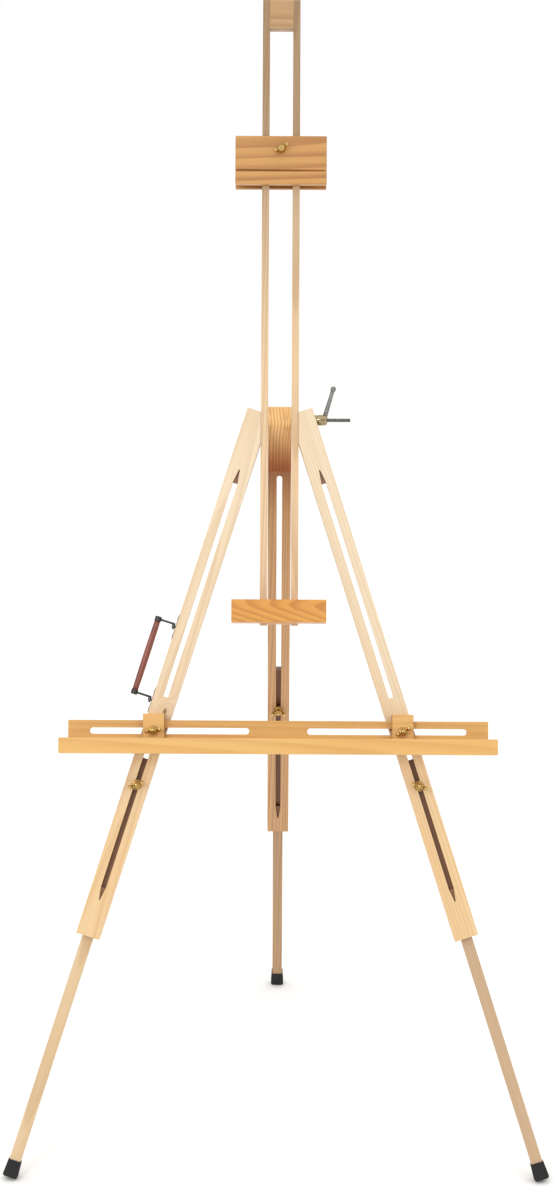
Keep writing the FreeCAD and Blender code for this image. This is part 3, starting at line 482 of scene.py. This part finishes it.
def wing_nut_mesh(bored=True):
    """Cast wing nut: a coned hub with a collar, and two wings that widen into rounded ears."""
    bm = bmesh.new()
    inner = NUT_BORE if bored else 0.4
    outline = [(inner, 0.0), (NUT_BASE, 0.0), (NUT_BASE + 0.25, 0.5), (NUT_BASE, 1.3), (5.7, 2.6), (5.3, 5.0),
               (NUT_TOP, NUT_HEIGHT - 0.6), (NUT_TOP - 0.6, NUT_HEIGHT), (inner, NUT_HEIGHT)]
    skin = [ring(radius * MM, height * MM, 48) for radius, height in outline]
    skin_rings(bm, skin + skin[:1], close_ends=False)
    bmesh.ops.remove_doubles(bm, verts=bm.verts, dist=1e-6)
    for side in (-1, 1):
        for (out, up, half), wide in zip(WING_SWEEP, WING_HALF_WIDTH):
            squash = Matrix.Diagonal((wide * MM, half * MM, wide * MM, 1.0))
            centre = Matrix.Translation(Vector((side * out, 0, up)) * MM)
            bmesh.ops.create_uvsphere(bm, u_segments=20, v_segments=12, radius=1.0, matrix=centre @ squash)
    obj = mesh_object("wing_nut_pattern", bm, BRASS)
    cast = obj.modifiers.new("cast", "REMESH")
    cast.mode, cast.voxel_size, cast.use_smooth_shade = "VOXEL", 0.3 * MM, True
    settle = obj.modifiers.new("settle", "CORRECTIVE_SMOOTH")
    settle.use_only_smooth, settle.iterations, settle.factor = True, 5, 0.5
    bake_modifiers(obj)
    mesh = obj.data
    bpy.data.objects.remove(obj)
    return mesh


def wing_nut(node, joint, body, mesh, turn):
    """A wing nut on its bolt's axis, with its seat where the node has it."""
    axis, place = axis_of(joint), place_of(joint)
    seat = span_along(node, place, axis)[0]
    obj = bpy.data.objects.new(node + "_cast", mesh)
    bpy.context.scene.collection.objects.link(obj)
    side = Matrix.Rotation(turn, 3, axis) @ X_AXIS
    put(obj, place + axis * seat, axis, side)
    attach(obj, body)
    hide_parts(node)


# ------------------------------------------------------------------ bolts
BOLT_R, PITCH, THREAD_DEPTH = 3.0, 1.0, 0.55
AROUND, STEPS_PER_TURN = 28, 8
WING_TURNS = {"left_lock": 0.35, "right_lock": -0.3, "left_tray": 0.15, "right_tray": 0.5, "clamp": 0.45}
CLAMP_NECK, CLAMP_PLAIN = 1.0, 12.0     # how far the clamp screw's core is in its head, and plain out of it


def bolt_rings(start, thread_start, end):
    """Rings up a bolt: plain shank, then a helical thread, then a chamfered end."""
    rings = [ring(BOLT_R * MM, start * MM, AROUND)]
    steps = int((end - thread_start) / PITCH * STEPS_PER_TURN)
    for k in range(steps + 1):
        height = thread_start + (end - thread_start) * k / steps
        points = []
        for i in range(AROUND):
            angle = 2 * math.pi * i / AROUND
            turn = (height / PITCH - i / AROUND) % 1.0
            tooth = 1 - abs(2 * turn - 1)
            fade = min(1.0, (height - thread_start) / PITCH)
            radius = BOLT_R - THREAD_DEPTH * fade * (1 - min(1.0, 1.35 * tooth))
            radius = min(radius, BOLT_R - 0.75 + (end - height))
            points.append((radius * MM * math.cos(angle), radius * MM * math.sin(angle), height * MM))
        rings.append(points)
    return rings


def head_rings(radius, thick):
    """Rings of a domed head that lies below height 0."""
    profile = [(0.3, -thick), (radius * 0.45, -thick * 0.97), (radius * 0.75, -thick * 0.82),
               (radius * 0.93, -thick * 0.55), (radius, -thick * 0.28), (radius, -0.25), (radius - 0.25, 0.0)]
    return [ring(r * MM, h * MM, AROUND) for r, h in profile]


def bolt(node, place, axis, body, material, head=7.0, thick=3.4, thread=20.0):
    """A bolt along an axis: its node's own ends say how long it is."""
    low, high = (reach / MM for reach in span_along(node, place, axis))
    under_head = low + thick
    bm = bmesh.new()
    rings = [[(x, y, z + under_head * MM) for x, y, z in points] for points in head_rings(head, thick)]
    skin_rings(bm, rings + bolt_rings(under_head, high - thread, high))
    obj = mesh_object(node + "_threaded", bm, material)
    put(obj, place, axis, X_AXIS if abs(axis.x) < 0.9 else UP_PLANE)
    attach(obj, body)
    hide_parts(node)


def make_fasteners():
    bored, solid = wing_nut_mesh(), wing_nut_mesh(bored=False)
    for side in ("left", "right"):
        for use in ("lock", "tray"):
            name = side + "_" + use
            wing_nut(name + "_wing_nut", name + "_nut_turn", name + "_nut", bored, WING_TURNS[name])
        bolt(side + "_lock_bolt", place_of(side + "_lock_nut_turn"), PLANE_FRONT, side + "_inner_leg",
             BRASS, thread=18.0)
        bolt(side + "_tray_bolt", place_of(side + "_tray_nut_turn"), PLANE_FRONT, side + "_tray_fixing",
             BRASS, head=7.5, thread=22.0)
    wing_nut("rear_lock_wing_nut", "rear_lock_nut_turn", "rear_lock_nut", bored, 0.0)
    bolt("rear_lock_bolt", place_of("rear_lock_nut_turn"), REAR_FRONT, "rear_inner_leg", BRASS,
         thread=18.0)
    bolt("head_bolt", place_of("lever_turn"), X_AXIS, "head_bolt", STEEL, head=6.5, thick=4.0,
         thread=48.0)
    clamp_screw(solid)


def clamp_screw(wings):
    """Wing-headed screw of the canvas clamp: cast head, plain neck and threaded shaft."""
    node, joint = "clamp_wing_screw", "clamp_screw_turn"
    axis, place = axis_of(joint), place_of(joint)
    low, high = (reach / MM for reach in span_along(node, place, axis))
    seat = high - NUT_CREST
    start = seat + CLAMP_NECK
    bm = bmesh.new()
    skin_rings(bm, [ring(0.3 * MM, start * MM, AROUND)] +
               flipped(bolt_rings(-start, -(seat - CLAMP_PLAIN), -low)))
    shaft = mesh_object(node + "_shaft", bm, BRASS)
    put(shaft, place, axis, X_AXIS)
    head = bpy.data.objects.new(node + "_head", wings)
    bpy.context.scene.collection.objects.link(head)
    put(head, place + axis * seat * MM, axis, Matrix.Rotation(WING_TURNS["clamp"], 3, axis) @ X_AXIS)
    for obj in (shaft, head):
        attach(obj, "clamp_screw")
        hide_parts(node)


def flipped(rings):
    """Rings turned upside down, still wound the same way."""
    return [[(x, -y, -z) for x, y, z in points] for points in rings]


# ------------------------------------------------------------------ clamping lever
HUB_PROFILE = ((3.15, 0.0), (8.4, 0.0), (8.5, 1.2), (7.6, 2.2), (7.4, 3.2), (8.3, 4.6), (8.5, 9.0),
               (8.3, 15.8), (7.2, 18.4), (5.6, 19.5), (3.15, 19.5))
LEVER_ROOT, LEVER_TIP = (14.9, 3.0), (28.9, 50.0)       # out along the bolt, then up, from the hub's seat
ARM_PROFILE = ((3.9, 0.0), (3.6, 0.25), (3.1, 0.7), (2.95, 0.9), (3.6, 0.925), (4.1, 0.95), (4.2, 0.99),
               (3.7, 1.045), (2.4, 1.075), (0.3, 1.085))


def lever():
    """Hub that screws down on the head bolt, with its tapered arm and rounded end."""
    axis, place = X_AXIS, place_of("lever_turn")
    seat = span_along("clamp_lever", place, axis)[0]
    bm = bmesh.new()
    skin = [ring(radius * MM, height * MM, 48) for radius, height in HUB_PROFILE]
    skin_rings(bm, skin + skin[:1], close_ends=False)
    bmesh.ops.remove_doubles(bm, verts=bm.verts, dist=1e-6)
    hub = mesh_object("lever_hub", bm, DULL_BRASS)
    put(hub, place + axis * seat, axis, UP_PLANE)
    root, tip = (place + axis * (seat + out * MM) + UP_PLANE * up * MM for out, up in (LEVER_ROOT, LEVER_TIP))
    length = (tip - root).length
    bm = bmesh.new()
    skin_rings(bm, [ring(radius * MM, share * length, 32) for radius, share in ARM_PROFILE])
    arm = mesh_object("lever_arm", bm, STEEL)
    put(arm, root, tip - root, axis)
    for obj, slot_name in ((hub, "brass"), (arm, "steel")):
        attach(obj, "clamp_lever")
        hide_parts("clamp_lever")


# ------------------------------------------------------------------ carrying handle
GRIP_RADIUS, GRIP_RINGS, GRIP_SIDES = 4.9 * MM, 24, 40
GRIP_SWELL = (0.92, 0.12)           # its radius at the ends, and how much is added in the middle


def handle():
    """The turned and dyed grip between the two ferrules."""
    up = axis_of("handle_swing")
    low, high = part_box("handle_grip")
    middle = (low + high) / 2
    reach = [(v.co - middle).dot(up) for v in NODES["handle_grip"].data.vertices]
    length = max(reach) - min(reach)
    rows = []
    for k in range(GRIP_RINGS + 1):
        share = k / GRIP_RINGS
        swell = GRIP_SWELL[0] + GRIP_SWELL[1] * math.sin(math.pi * share) ** 0.8
        rows.append(ring(GRIP_RADIUS * swell, (share - 0.5) * length, GRIP_SIDES))
    bm = bmesh.new()
    skin_rings(bm, rows)
    dyed = wood("dyed_grip", "handle_grip", grain(up, PLANE_FRONT), rgb(0.30, 0.075, 0.045),
                rgb(0.085, 0.018, 0.012), 91, ring=0.0022, near=0.02, gloss=0.3)
    grip = mesh_object("turned_grip", bm, dyed)
    grip.data.transform(Matrix.Translation(middle) @ up.to_track_quat("Z", "Y").to_matrix().to_4x4())
    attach(grip, "handle")
    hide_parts("handle_grip")


# ------------------------------------------------------------------ studio
DOME_SPAN, DOME_STRENGTH = (0.0, 0.9), (0.42, 1.40)     # from the horizon up, and how bright
FLOOR_RADIUS, FLOOR_TOP, FLOOR_UNDER = 40.0, -0.0005, -0.002
LIGHTS = {"key": ((-2.2, -4.4, 3.2), (0, 0, 0.9), 1.5, 50.0),      # place, aim, diameter, watts
          "fill": ((3.2, -3.4, 2.0), (0, 0, 0.8), 1.6, 16.0)}


def dome_light():
    """White behind the easel, and a soft dome that lights it, brighter overhead."""
    world = bpy.context.scene.world or bpy.data.worlds.new("studio")
    bpy.context.scene.world = world
    world.use_nodes = True
    tree = world.node_tree
    backdrop = tree.nodes["Background"]
    backdrop.inputs["Color"].default_value = rgb(1.0, 1.0, 1.0)
    backdrop.inputs["Strength"].default_value = 1.0
    soft = tree.nodes.new("ShaderNodeBackground")
    soft.inputs["Color"].default_value = rgb(1.0, 0.99, 0.97)
    sky = tree.nodes.new("ShaderNodeTexCoord")
    height = tree.nodes.new("ShaderNodeSeparateXYZ")
    dome = tree.nodes.new("ShaderNodeMapRange")
    for value, socket in zip(DOME_SPAN + DOME_STRENGTH, dome.inputs[1:5]):
        socket.default_value = value
    tree.links.new(sky.outputs["Generated"], height.inputs[0])
    tree.links.new(height.outputs["Z"], dome.inputs[0])
    tree.links.new(dome.outputs[0], soft.inputs["Strength"])
    path = tree.nodes.new("ShaderNodeLightPath")
    pick = tree.nodes.new("ShaderNodeMixShader")
    tree.links.new(path.outputs["Is Camera Ray"], pick.inputs[0])
    tree.links.new(soft.outputs[0], pick.inputs[1])
    tree.links.new(backdrop.outputs[0], pick.inputs[2])
    tree.links.new(pick.outputs[0], tree.nodes["World Output"].inputs["Surface"])


def studio():
    dome_light()
    bm = bmesh.new()
    skin_rings(bm, [ring(FLOOR_RADIUS, height, 64) for height in (FLOOR_UNDER, FLOOR_TOP)])
    floor_finish = Finish("pale_floor", Roughness=0.9)
    speckle = floor_finish.noise(floor_finish.place, 3.0, 3.0)
    tone = floor_finish.mix(speckle, rgb(0.93, 0.93, 0.925), rgb(0.95, 0.95, 0.945))
    floor = mesh_object("floor", bm, floor_finish.finish(tone), smooth=False)

    for name, (place, aim_at, size, power) in LIGHTS.items():
        light = bpy.data.lights.new(name, "AREA")
        light.shape, light.size, light.energy = "DISK", size, power
        lamp = bpy.data.objects.new(name, light)
        bpy.context.scene.collection.objects.link(lamp)
        lamp.location = place
        lamp.rotation_mode = "QUATERNION"
        lamp.rotation_quaternion = (Vector(aim_at) - Vector(place)).to_track_quat("-Z", "Y")


LENS, SENSOR = 64.7, 36.0
CAMERA_PLACE, CAMERA_DIP, CAMERA_ROLL = Vector((0.001, -3.419, 1.617)), 12.98, 0.29     # angles in degrees


def camera():
    lens = bpy.data.cameras.new("view")
    lens.lens, lens.sensor_width = LENS, SENSOR
    lens.clip_end = 200.0
    view = bpy.data.objects.new("view", lens)
    bpy.context.scene.collection.objects.link(view)
    pitch, roll = math.radians(90 - CAMERA_DIP), math.radians(CAMERA_ROLL)
    view.matrix_world = (Matrix.Translation(CAMERA_PLACE) @ Matrix.Rotation(pitch, 4, "X")
                         @ Matrix.Rotation(roll, 4, "Z"))
    bpy.context.scene.camera = view
    bpy.context.scene.view_settings.view_transform = "Standard"


finish_timber()
finish_hardware()
make_fasteners()
lever()
handle()
studio()
camera()
